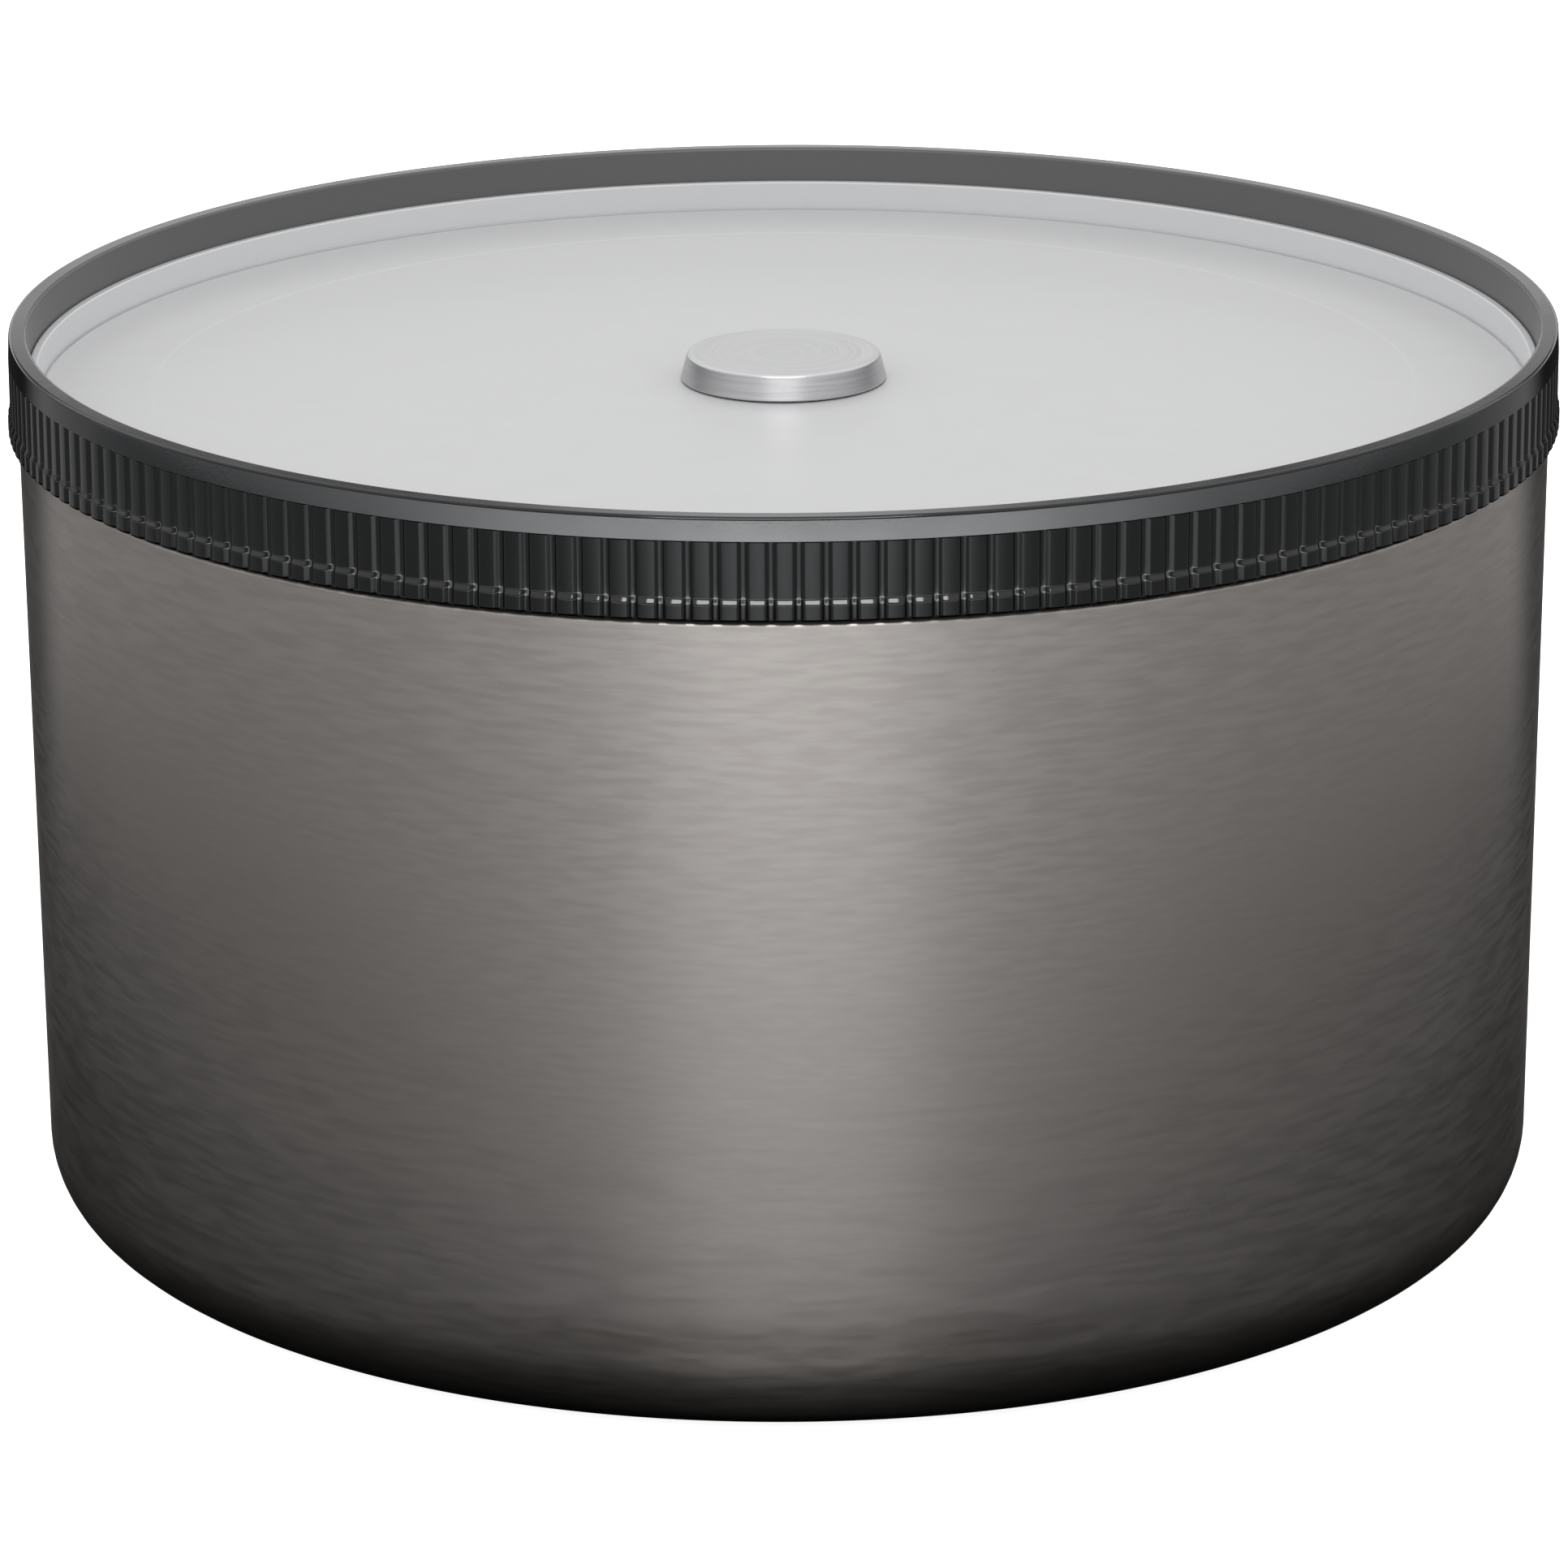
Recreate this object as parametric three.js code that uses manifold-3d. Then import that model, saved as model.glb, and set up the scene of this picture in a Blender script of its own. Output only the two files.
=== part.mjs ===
// A wide double-walled stainless canister with a screw lid.
// The body is a tapered brushed shell round an inner vessel. The lid is a dark fluted ring whose skirt
// screws into the mouth, with a recessed light panel, a plain round badge, a seal and an inner cover.
// Millimetres, +Z up, with the origin on the ground at the centre of the base.
import * as THREE from 'three';
import { mergeVertices } from 'three/addons/utils/BufferGeometryUtils.js';
import Module from 'manifold-3d';

// Clearances
const seatGap = 0.3; // between pieces that seat on or in each other
const glueGap = 0.1; // under the badge, where its adhesive lies
const overrun = 1; // how far a cutter reaches past the faces that it opens

// Body
const bodyHeight = 94.2; // ground to the face of the mouth's rim
const bodyTopRadius = 88.8; // the lid and all that is inside take their radii from this one
const wallTaper = 1; // how much narrower the straight wall's line is at the ground
const baseCornerRadius = 9.5;
const rimCornerRadius = 0.8;
const sheetThickness = 0.8;
const wallGap = 2.2; // hollow between the shell and the inner vessel
const footWidth = 8.4; // flat ring that the canister stands on

// Base plate
const plateRise = 1.2; // how far its stiffened centre stands above its edge
const plateRimWidth = 17.1; // from its edge to the foot of the ramp
const plateRiseRun = 3;

// Inner vessel
const floorGap = 3.1; // hollow between the base plate and the vessel's floor
const vesselCornerRadius = 8;

// Seal
const gasketThickness = 1.2;

// Lid ring
const gripHeight = 11.5;
const gripReach = 1.2; // how far the foot band, the widest part, stands out past the body
const footStep = 0.25; // how far the foot band stands out past the ribs
const footStepHeight = 0.55;
const footBandHeight = 1.95;
const bandHeight = 2.7; // plain band from the top of the flutes to the rim
const bandLean = 0.1;
const lipCornerRadius = 0.3;
const lipWidth = 2.15; // from the plain band to the recess
const webThickness = 1.2; // the shelf that carries the panel
const lowerWall = 1.4; // behind the flutes, beside the seal
const threadRoom = 1.6; // from the mouth's bore to the skirt, filled by the two threads
const skirtWall = 2;
const skirtDepth = 11.2; // how far the skirt reaches into the mouth

// Flutes of the grip
const fluteCount = 192;
const fluteDepth = 0.45; // below the ribs
const fluteMouth = 1.25; // width at the ribs
const fluteFloor = 0.5;
const fluteEndSlope = 0.1; // how far the top end of a flute leans

// Lid panel
const shoulderHeight = 3.5; // the panel's turned-up edge
const shoulderFootRadius = 0.8;

// Badge
const badgeRadius = 12;
const badgeHeight = 3;
const badgeBevel = 0.8;
const badgeEdgeBreak = 0.3;

// Inner cover
const coverThickness = 1.6;
const coverRecess = 0.6; // how far its face lies inside the skirt's lower edge

// Sides of the round forms and steps of their corners
const shellSides = 72;
const ringSides = 96;
const panelSides = 60;
const vesselSides = 48;
const hiddenSides = 36;
const cornerSteps = 4;
const smallCornerSteps = 2;

// Places worked out from the sizes
const shellCornerCentre = wallRadius(baseCornerRadius) - baseCornerRadius;
const footInnerRadius = shellCornerCentre - footWidth;
const mouthRadius = bodyTopRadius - sheetThickness - wallGap - sheetThickness;
const plateUnder = sheetThickness + seatGap;
const plateTop = plateUnder + plateRise + sheetThickness;
const vesselUnder = plateTop + floorGap;
const gripBottom = bodyHeight + seatGap;
const rimTop = gripBottom + gripHeight;
const gripRadius = bodyTopRadius + gripReach;
const ribRadius = gripRadius - footStep;
const fluteFloorRadius = ribRadius - fluteDepth;
const fluteTop = rimTop - bandHeight;
const channelRadius = fluteFloorRadius - lowerWall;
const bandTopRadius = ribRadius - bandLean;
const recessRadius = bandTopRadius - lipWidth;
const skirtRadius = mouthRadius - threadRoom;
const skirtInnerRadius = skirtRadius - skirtWall;
const skirtBottom = bodyHeight - skirtDepth;
const gasketUnder = bodyHeight + seatGap;
const webUnder = gasketUnder + gasketThickness + seatGap;
const webTop = webUnder + webThickness;
const panelUnder = webTop + seatGap;
const panelTop = panelUnder + sheetThickness;
const panelRadius = recessRadius - seatGap;
const badgeUnder = panelTop + glueGap;
const coverRadius = skirtInnerRadius - seatGap;
const coverUnder = skirtBottom + coverRecess;

const brushedSteel = { color: 0x5f5d5b, roughness: 0.38, metalness: 1 };
const innerSteel = { color: 0x9a9a99, roughness: 0.3, metalness: 1 };
const darkGloss = { color: 0x161617, roughness: 0.22, metalness: 0 };
const satinLight = { color: 0xd0d1d3, roughness: 0.45, metalness: 0.6 };
const polishedSteel = { color: 0x8d8e90, roughness: 0.12, metalness: 1 };
const palePlastic = { color: 0xc9c9c6, roughness: 0.5, metalness: 0 };
const softSeal = { color: 0xb9bab8, roughness: 0.8, metalness: 0 };

const wasm = await Module();
wasm.setup();

// Outside radius of the shell's straight wall at a height above the ground
function wallRadius(height) {
  return bodyTopRadius - wallTaper * (1 - height / bodyHeight);
}

function at(radius, height) {
  return new THREE.Vector2(radius, height);
}

// Points of a round corner, from one angle to another in quarter turns
function corner(centreRadius, centreHeight, radius, fromQuarter, toQuarter, steps) {
  const points = [];
  for (let step = 0; step <= steps; step += 1) {
    const angle = (fromQuarter + (toQuarter - fromQuarter) * (step / steps)) * Math.PI / 2;
    points.push(at(centreRadius + radius * Math.cos(angle), centreHeight + radius * Math.sin(angle)));
  }
  return points;
}

// A profile that runs anticlockwise, with radius to the right and height upward, turned about +Z
function revolve(profile, sides) {
  const first = profile[0];
  const last = profile[profile.length - 1];
  const endsOnAxis = first.x === 0 && last.x === 0;
  const points = endsOnAxis ? profile : [...profile, first.clone()];
  return new THREE.LatheGeometry(points, sides).rotateX(Math.PI / 2);
}

function toSolid(geometry) {
  const bare = geometry.clone();
  bare.deleteAttribute('normal');
  bare.deleteAttribute('uv');
  const merged = mergeVertices(bare);
  const vertProperties = new Float32Array(merged.attributes.position.array);
  const triVerts = new Uint32Array(merged.index.array);
  return new wasm.Manifold(new wasm.Mesh({ numProp: 3, vertProperties, triVerts }));
}

function toGeometry(solid) {
  const mesh = solid.getMesh();
  const geometry = new THREE.BufferGeometry();
  geometry.setAttribute('position', new THREE.BufferAttribute(mesh.vertProperties, mesh.numProp));
  geometry.setIndex(new THREE.BufferAttribute(mesh.triVerts, 1));
  geometry.computeVertexNormals();
  return geometry;
}

function piece(name, geometry, look) {
  const mesh = new THREE.Mesh(geometry, new THREE.MeshStandardMaterial(look));
  mesh.name = name;
  return mesh;
}

// Drawn outer shell: flat foot, round base corner, tapered wall and a rim turned in to the vessel
function outerShell() {
  const rimCentre = at(bodyTopRadius - rimCornerRadius, bodyHeight - rimCornerRadius);
  const rimJointRadius = mouthRadius + sheetThickness + seatGap;
  const profile = [
    at(footInnerRadius, 0),
    ...corner(shellCornerCentre, baseCornerRadius, baseCornerRadius, -1, 0, cornerSteps),
    ...corner(rimCentre.x, rimCentre.y, rimCornerRadius, 0, 1, smallCornerSteps),
    at(rimJointRadius, bodyHeight),
    at(rimJointRadius, bodyHeight - sheetThickness),
    at(bodyTopRadius - sheetThickness, bodyHeight - sheetThickness),
    ...corner(shellCornerCentre, baseCornerRadius, baseCornerRadius - sheetThickness, 0, -1, cornerSteps),
    at(footInnerRadius, sheetThickness),
  ];
  return piece('outer_shell', revolve(profile, shellSides), brushedSteel);
}

// Pressed disc that closes the shell's base from inside, with a raised stiff centre
function basePlate() {
  const edgeRadius = shellCornerCentre - seatGap;
  const centreUnder = plateUnder + plateRise;
  const rampRadius = edgeRadius - plateRimWidth;
  const riseRadius = rampRadius - plateRiseRun;
  const profile = [
    at(0, centreUnder),
    at(riseRadius, centreUnder),
    at(rampRadius, plateUnder),
    at(edgeRadius, plateUnder),
    at(edgeRadius, plateUnder + sheetThickness),
    at(rampRadius, plateUnder + sheetThickness),
    at(riseRadius, plateTop),
    at(0, plateTop),
  ];
  return piece('base_plate', revolve(profile, hiddenSides), brushedSteel);
}

// Drawn inner vessel, which holds the food and whose bore carries the mouth's thread
function innerVessel() {
  const inset = sheetThickness + wallGap;
  const cornerHeight = vesselUnder + vesselCornerRadius;
  const cornerCentre = wallRadius(cornerHeight) - inset - vesselCornerRadius;
  const innerCorner = vesselCornerRadius - sheetThickness;
  const profile = [
    at(0, vesselUnder),
    ...corner(cornerCentre, cornerHeight, vesselCornerRadius, -1, 0, cornerSteps),
    at(bodyTopRadius - inset, bodyHeight),
    at(mouthRadius, bodyHeight),
    ...corner(cornerCentre, cornerHeight, innerCorner, 0, -1, cornerSteps),
    at(0, vesselUnder + sheetThickness),
  ];
  return piece('inner_vessel', revolve(profile, vesselSides), innerSteel);
}

// Flat silicone seal between the rim and the lid's shelf
function lidGasket() {
  const inner = skirtRadius + seatGap;
  const outer = channelRadius - seatGap;
  const top = gasketUnder + gasketThickness;
  const profile = [at(inner, gasketUnder), at(outer, gasketUnder), at(outer, top), at(inner, top)];
  return piece('lid_gasket', revolve(profile, vesselSides), softSeal);
}

// The ring before its flutes are cut: lip, grip wall, shelf for the panel and threaded skirt
function ringBlank() {
  const lipHeight = rimTop - lipCornerRadius;
  const footTop = gripBottom + footBandHeight;
  const profile = [
    at(gripRadius, gripBottom),
    at(gripRadius, footTop),
    at(ribRadius, footTop + footStepHeight),
    at(ribRadius, fluteTop),
    ...corner(bandTopRadius - lipCornerRadius, lipHeight, lipCornerRadius, 0, 1, smallCornerSteps),
    ...corner(recessRadius + lipCornerRadius, lipHeight, lipCornerRadius, 1, 2, smallCornerSteps),
    at(recessRadius, webTop),
    at(skirtInnerRadius, webTop),
    at(skirtInnerRadius, skirtBottom),
    at(skirtRadius, skirtBottom),
    at(skirtRadius, webUnder),
    at(channelRadius, webUnder),
    at(channelRadius, gripBottom),
  ];
  return toSolid(revolve(profile, ringSides));
}

// One flute: an upright trapezoid groove, open at the ring's lower edge, with a leaning top end.
// Its section lies in X and Y with the floor towards the axis, and widens at the flanks' slope.
function fluteCutter() {
  const reach = footStep + overrun;
  const widenPerDepth = (fluteMouth - fluteFloor) / fluteDepth;
  const outerHalf = (fluteMouth + widenPerDepth * reach) / 2;
  const floorHalf = fluteFloor / 2;
  const section = new THREE.Shape([
    at(fluteFloorRadius, -floorHalf),
    at(ribRadius + reach, -outerHalf),
    at(ribRadius + reach, outerHalf),
    at(fluteFloorRadius, floorHalf),
  ]);
  const depth = fluteTop - gripBottom + overrun;
  const groove = new THREE.ExtrudeGeometry(section, { depth, bevelEnabled: false });
  groove.translate(0, 0, gripBottom - overrun);
  leanTopEnd(groove);
  return toSolid(groove);
}

// Raises the groove's upper end as it comes outwards, so that each flute runs out on a slope
function leanTopEnd(groove) {
  const position = groove.attributes.position;
  const middle = (gripBottom + fluteTop) / 2;
  for (let index = 0; index < position.count; index += 1) {
    const outward = (position.getX(index) - fluteFloorRadius) / fluteDepth;
    if (position.getZ(index) > middle) {
      position.setZ(index, fluteTop + fluteEndSlope * (outward - 1));
    }
  }
}

// Fluted grip ring with its skirt: the flutes are one cutter repeated round the axis
function lidRing() {
  const cutter = fluteCutter();
  const cutters = [];
  for (let index = 0; index < fluteCount; index += 1) {
    cutters.push(cutter.rotate([0, 0, (index * 360) / fluteCount]));
  }
  const fluted = ringBlank().subtract(wasm.Manifold.union(cutters));
  return piece('lid_ring', toGeometry(fluted), darkGloss);
}

// Pressed dish that fills the ring's recess, with its edge turned up as a shoulder
function lidPanel() {
  const inner = panelRadius - sheetThickness;
  const shoulderTop = panelTop + shoulderHeight;
  const roll = sheetThickness / 2;
  const footHeight = panelTop + shoulderFootRadius;
  const profile = [
    at(0, panelUnder),
    at(panelRadius - sheetThickness, panelUnder),
    at(panelRadius, panelUnder + sheetThickness),
    ...corner(panelRadius - roll, shoulderTop - roll, roll, 0, 2, smallCornerSteps),
    ...corner(inner - shoulderFootRadius, footHeight, shoulderFootRadius, 0, -1, smallCornerSteps),
    at(0, panelTop),
  ];
  return piece('lid_panel', revolve(profile, panelSides), satinLight);
}

// Plain round badge with bevelled sides
function lidBadge() {
  const top = badgeUnder + badgeHeight;
  const faceRadius = badgeRadius - badgeBevel;
  const profile = [
    at(0, badgeUnder),
    at(badgeRadius, badgeUnder),
    at(faceRadius, top - badgeEdgeBreak),
    at(faceRadius - badgeEdgeBreak, top),
    at(0, top),
  ];
  return piece('lid_badge', revolve(profile, hiddenSides), polishedSteel);
}

// Moulded cup that closes the lid on the food side
function innerCover() {
  const wallTop = webTop;
  const floorTop = coverUnder + coverThickness;
  const innerRadius = coverRadius - coverThickness;
  const profile = [
    at(0, coverUnder),
    at(coverRadius, coverUnder),
    at(coverRadius, wallTop),
    at(innerRadius, wallTop),
    at(innerRadius, floorTop),
    at(0, floorTop),
  ];
  return piece('inner_cover', revolve(profile, hiddenSides), palePlastic);
}

const canister = new THREE.Group();
canister.add(outerShell(), basePlate(), innerVessel());

const lid = new THREE.Group();
lid.add(lidRing(), lidPanel(), lidBadge(), innerCover());

const object = new THREE.Group();
object.add(canister, lidGasket(), lid);

export default object;
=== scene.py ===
"""Looks of a wide double-walled stainless food canister with a screw lid.

Every piece is a surface worked out with numpy from the sizes below, in millimetres, with its place in
its mesh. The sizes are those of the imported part, whose nodes these finer pieces replace.
"""

import math

import bpy
import numpy as np
from mathutils import Matrix, Vector


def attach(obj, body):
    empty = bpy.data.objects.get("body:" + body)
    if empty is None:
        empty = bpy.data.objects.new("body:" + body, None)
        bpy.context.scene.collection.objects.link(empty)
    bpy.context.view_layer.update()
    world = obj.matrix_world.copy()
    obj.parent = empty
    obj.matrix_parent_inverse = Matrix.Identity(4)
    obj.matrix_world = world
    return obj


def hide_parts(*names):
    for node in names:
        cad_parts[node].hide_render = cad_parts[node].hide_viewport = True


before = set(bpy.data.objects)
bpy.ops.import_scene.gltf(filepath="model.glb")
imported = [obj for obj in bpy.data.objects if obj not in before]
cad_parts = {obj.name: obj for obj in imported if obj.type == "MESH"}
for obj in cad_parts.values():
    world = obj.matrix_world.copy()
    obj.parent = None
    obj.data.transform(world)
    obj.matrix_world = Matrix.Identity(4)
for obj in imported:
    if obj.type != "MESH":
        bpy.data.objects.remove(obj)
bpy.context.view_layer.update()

MM = 0.001
TURN = 2 * math.pi

# Body, in millimetres
SEAT_GAP = 0.3
BODY_HEIGHT = 94.2
BODY_TOP_RADIUS = 88.8
WALL_TAPER = 1.0
BASE_CORNER = 9.5
RIM_CORNER = 0.5
SHEET = 0.8
WALL_GAP = 2.2
FOOT_WIDTH = 8.4
PLATE_RISE = 1.2
PLATE_RIM_WIDTH = 17.1
PLATE_RISE_RUN = 3.0
FLOOR_GAP = 3.1
VESSEL_CORNER = 8.0
GASKET_THICKNESS = 1.2

# Lid
GRIP_HEIGHT = 11.5
GRIP_REACH = 1.2
FOOT_STEP = 0.25
FOOT_STEP_HEIGHT = 0.55
FOOT_BAND_HEIGHT = 1.95
BAND_HEIGHT = 2.7
BAND_LEAN = 0.1
LIP_CORNER = 0.3
LIP_WIDTH = 2.15
WEB_THICKNESS = 1.2
LOWER_WALL = 1.4
THREAD_ROOM = 1.6
SKIRT_WALL = 2.0
SKIRT_DEPTH = 11.2
SHOULDER_HEIGHT = 3.5
SEAM_WIDTH = 0.3
SEAM_DEPTH = 0.32
PRESSED_RADIUS = 73.6
PRESSED_RUN = 0.5
PRESSED_DEPTH = 0.05
BADGE_RADIUS = 12.0
BADGE_HEIGHT = 3.0
BADGE_BEVEL = 0.8
GLUE_GAP = 0.1
COVER_THICKNESS = 1.6
COVER_RECESS = 0.6

# Flutes of the grip, with heights above the ground and with places as shares of the pitch
FLUTE_COUNT = 192
FLUTE_DEPTH = 0.45
FLUTE_KEPT = 0.97
FLUTE_RAMP = 0.11
FLUTE_RAMP_TOP = 97.9
FLUTE_RAMP_HEIGHT = 2.2
FLUTE_DRAFT = 0.03
FLUTE_DRAFT_START = 98.6
FLUTE_FADE = 0.1
FLANK_START = 0.09
FLANK_END = 0.215
RIB_CROWN = 0.055
PITCH_PLACES = np.array([-0.5, -0.27, -0.235, -0.195, -0.105, -0.07, 0.07, 0.105, 0.195, 0.235, 0.27])

# Screw thread
THREAD_STARTS = 6
THREAD_LEAD = 24.0
RIDGE_DEPTH = 1.1
RIDGE_RISE = 6.0
RIDGE_START = 2.6
RIDGE_CLEARANCE = 1.2

# Places worked out from the sizes
FOOT_OUTER = BODY_TOP_RADIUS - WALL_TAPER * (1 - BASE_CORNER / BODY_HEIGHT) - BASE_CORNER
FOOT_INNER = FOOT_OUTER - FOOT_WIDTH
MOUTH_RADIUS = BODY_TOP_RADIUS - SHEET - WALL_GAP - SHEET
PLATE_UNDER = SHEET + SEAT_GAP
VESSEL_UNDER = PLATE_UNDER + PLATE_RISE + SHEET + FLOOR_GAP
GRIP_BOTTOM = BODY_HEIGHT + SEAT_GAP
RIM_TOP = GRIP_BOTTOM + GRIP_HEIGHT
GRIP_RADIUS = BODY_TOP_RADIUS + GRIP_REACH
RIB_RADIUS = GRIP_RADIUS - FOOT_STEP
FLUTE_FLOOR = RIB_RADIUS - FLUTE_DEPTH
FLUTE_TOP = RIM_TOP - BAND_HEIGHT
BAND_TOP_RADIUS = RIB_RADIUS - BAND_LEAN
RECESS_RADIUS = BAND_TOP_RADIUS - LIP_WIDTH
CHANNEL_RADIUS = FLUTE_FLOOR - LOWER_WALL
SKIRT_RADIUS = MOUTH_RADIUS - THREAD_ROOM
SKIRT_INNER = SKIRT_RADIUS - SKIRT_WALL
SKIRT_BOTTOM = BODY_HEIGHT - SKIRT_DEPTH
WEB_UNDER = GRIP_BOTTOM + GASKET_THICKNESS + SEAT_GAP
WEB_TOP = WEB_UNDER + WEB_THICKNESS
PANEL_UNDER = WEB_TOP + SEAT_GAP
PANEL_TOP = PANEL_UNDER + SHEET
PANEL_RADIUS = RECESS_RADIUS - SEAT_GAP
BADGE_UNDER = PANEL_TOP + GLUE_GAP
COVER_RADIUS = SKIRT_INNER - SEAT_GAP
COVER_UNDER = SKIRT_BOTTOM + COVER_RECESS
MOUTH_RIDGE_BOTTOM = SKIRT_BOTTOM + RIDGE_START
SKIRT_RIDGE_BOTTOM = MOUTH_RIDGE_BOTTOM - RIDGE_CLEARANCE

# Columns of the round pieces
BODY_COLUMNS = 576
LID_COLUMNS = 480
HIDDEN_COLUMNS = 288


def wall_radius(height):
    """Outside radius of the body at a height: the radius at the top less the taper's share."""
    return BODY_TOP_RADIUS - WALL_TAPER * (1 - height / BODY_HEIGHT)


def smooth_step(share):
    """A share s kept between none and one and eased at both: 3s^2 - 2s^3."""
    kept = np.clip(share, 0, 1)
    return kept * kept * (3 - 2 * kept)


def unit(vectors):
    """Each vector divided by its length."""
    return vectors / np.linalg.norm(vectors, axis=-1, keepdims=True)


def rounded(corners, closed=True, steps=6, ease=0.25):
    """Outline through (radius, height, corner radius) points, with an arc at each corner.

    An arc starts at its radius times the tangent of half the turn before the corner. Its points are the
    centre plus the start's offset turned by equal shares of the turn. One more point lies on the
    straight side before it and one after it, at the ease's share of the radius, so that the sides
    shade flat. The two ends of an open outline stay as they are.
    """
    table = np.asarray(corners, float)
    place, radius = table[:, :2], table[:, 2:]
    before, after = np.roll(place, 1, 0), np.roll(place, -1, 0)
    if not closed:
        place, before, after, radius = place[1:-1], before[1:-1], after[1:-1], radius[1:-1]
    way_in, way_out = unit(place - before), unit(after - place)
    cross = way_in[:, :1] * way_out[:, 1:] - way_in[:, 1:] * way_out[:, :1]
    turn = np.arctan2(cross, (way_in * way_out).sum(1, keepdims=True))
    start = place - way_in * radius * np.tan(np.abs(turn) / 2)
    end = place + way_out * radius * np.tan(np.abs(turn) / 2)
    left = np.stack([-way_in[:, 1], way_in[:, 0]], 1) * np.sign(turn)
    angle = turn * np.linspace(0, 1, steps + 1)
    cosine, sine = np.cos(angle)[..., None], np.sin(angle)[..., None]
    offset = (-left * radius)[:, None, :]
    turned = np.concatenate([
        offset[..., :1] * cosine - offset[..., 1:] * sine,
        offset[..., :1] * sine + offset[..., 1:] * cosine,
    ], 2)
    arc = (start + left * radius)[:, None, :] + turned
    rows = [(start - way_in * radius * ease)[:, None], arc, (end + way_out * radius * ease)[:, None]]
    line = np.concatenate(rows, 1).reshape(-1, 2)
    return line if closed else np.vstack([table[:1, :2], line, table[-1:, :2]])


def put_mesh(name, points, faces):
    """A smooth shaded mesh object at the origin from points in millimetres and lists of faces."""
    mesh = bpy.data.meshes.new(name)
    mesh.from_pydata((points * MM).tolist(), [], [face for group in faces for face in group.tolist()])
    mesh.polygons.foreach_set("use_smooth", np.ones(len(mesh.polygons), bool))
    mesh.update()
    piece = bpy.data.objects.new(name, mesh)
    bpy.context.scene.collection.objects.link(piece)
    return piece


def grid_faces(rows, columns, first=0, closed=False):
    """Four-sided faces of a grid whose columns go round, and whose rows too where it is closed."""
    row = np.arange(rows if closed else rows - 1)[:, None]
    column = np.arange(columns)[None, :]
    here, above = row * columns, ((row + 1) % rows) * columns
    beside = (column + 1) % columns
    corners = [here + column, here + beside, above + beside, above + column]
    return first + np.stack(corners, -1).reshape(-1, 4)


def around(radius, height, angle):
    """Points at a radius, height and angle about the upright axis, as one list."""
    radius, height, angle = np.broadcast_arrays(radius, height, angle)
    return np.stack([radius * np.cos(angle), radius * np.sin(angle), height], -1).reshape(-1, 3)


def lathe(name, outline, columns):
    """An outline turned about the axis: each point (r, z) becomes (r cos a, r sin a, z).

    An outline that starts and ends on the axis gets one point at each pole, with triangles round it.
    """
    angle = np.arange(columns) * TURN / columns
    poles = outline[0, 0] == 0 and outline[-1, 0] == 0
    rings = outline[1:-1] if poles else outline
    points = around(rings[:, :1], rings[:, 1:], angle[None, :])
    faces = [grid_faces(len(rings), columns, closed=not poles)]
    if poles:
        column = np.arange(columns)
        beside = (column + 1) % columns
        last = (len(rings) - 1) * columns
        low_pole, high_pole = len(points), len(points) + 1
        faces.append(np.stack([np.full(columns, low_pole), beside, column], 1))
        faces.append(np.stack([np.full(columns, high_pole), last + column, last + beside], 1))
        points = np.vstack([points, [[0, 0, outline[0, 1]], [0, 0, outline[-1, 1]]]])
    return put_mesh(name, points, faces)


def outer_shell():
    """Drawn shell: a flat foot, a round base corner, a tapered wall and a rim turned in to the vessel."""
    joint = MOUTH_RADIUS + SHEET + SEAT_GAP
    inner_wall = BODY_TOP_RADIUS - SHEET
    ground = BODY_TOP_RADIUS - WALL_TAPER
    inner_corner = BASE_CORNER - SHEET
    outline = rounded([
        (FOOT_INNER, 0, 0.2), (ground, 0, BASE_CORNER), (BODY_TOP_RADIUS, BODY_HEIGHT, RIM_CORNER),
        (joint, BODY_HEIGHT, 0.15), (joint, BODY_HEIGHT - SHEET, 0.15),
        (inner_wall, BODY_HEIGHT - SHEET, 0.3), (ground - SHEET, SHEET, inner_corner),
        (FOOT_INNER, SHEET, 0.2),
    ], steps=14, ease=0.06)
    return lathe("outer_shell_finished", outline, BODY_COLUMNS)


def base_plate():
    """Pressed disc with a raised stiff centre, whose bends are rounded."""
    edge = FOOT_OUTER - SEAT_GAP
    ramp = edge - PLATE_RIM_WIDTH
    rise = ramp - PLATE_RISE_RUN
    low, high = PLATE_UNDER, PLATE_UNDER + PLATE_RISE
    outline = rounded([
        (0, high, 0), (rise, high, 2.4), (ramp, low, 3.2), (edge, low, 0.25),
        (edge, low + SHEET, 0.25), (ramp, low + SHEET, 2.4), (rise, high + SHEET, 3.2), (0, high + SHEET, 0),
    ], closed=False)
    return lathe("base_plate_finished", outline, HIDDEN_COLUMNS)


def inner_vessel():
    """Drawn vessel, closed at the bottom, with a round corner and a flat top edge at the mouth."""
    inset = SHEET + WALL_GAP
    low = wall_radius(VESSEL_UNDER) - inset
    outline = rounded([
        (0, VESSEL_UNDER, 0), (low, VESSEL_UNDER, VESSEL_CORNER),
        (BODY_TOP_RADIUS - inset, BODY_HEIGHT, 0.2), (MOUTH_RADIUS, BODY_HEIGHT, 0.35),
        (low - SHEET, VESSEL_UNDER + SHEET, VESSEL_CORNER - SHEET), (0, VESSEL_UNDER + SHEET, 0),
    ], closed=False, steps=12, ease=0.06)
    return lathe("inner_vessel_finished", outline, LID_COLUMNS)


def rim_weld():
    """Ground weld bead that closes the joint of shell and vessel: a small ring of round section."""
    share = np.linspace(0, TURN, 12, endpoint=False)
    centre = MOUTH_RADIUS + SHEET + SEAT_GAP / 2
    outline = np.stack([centre + 0.3 * np.cos(share), BODY_HEIGHT - 0.32 + 0.3 * np.sin(share)], 1)
    return lathe("rim_weld", outline, HIDDEN_COLUMNS)


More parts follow.
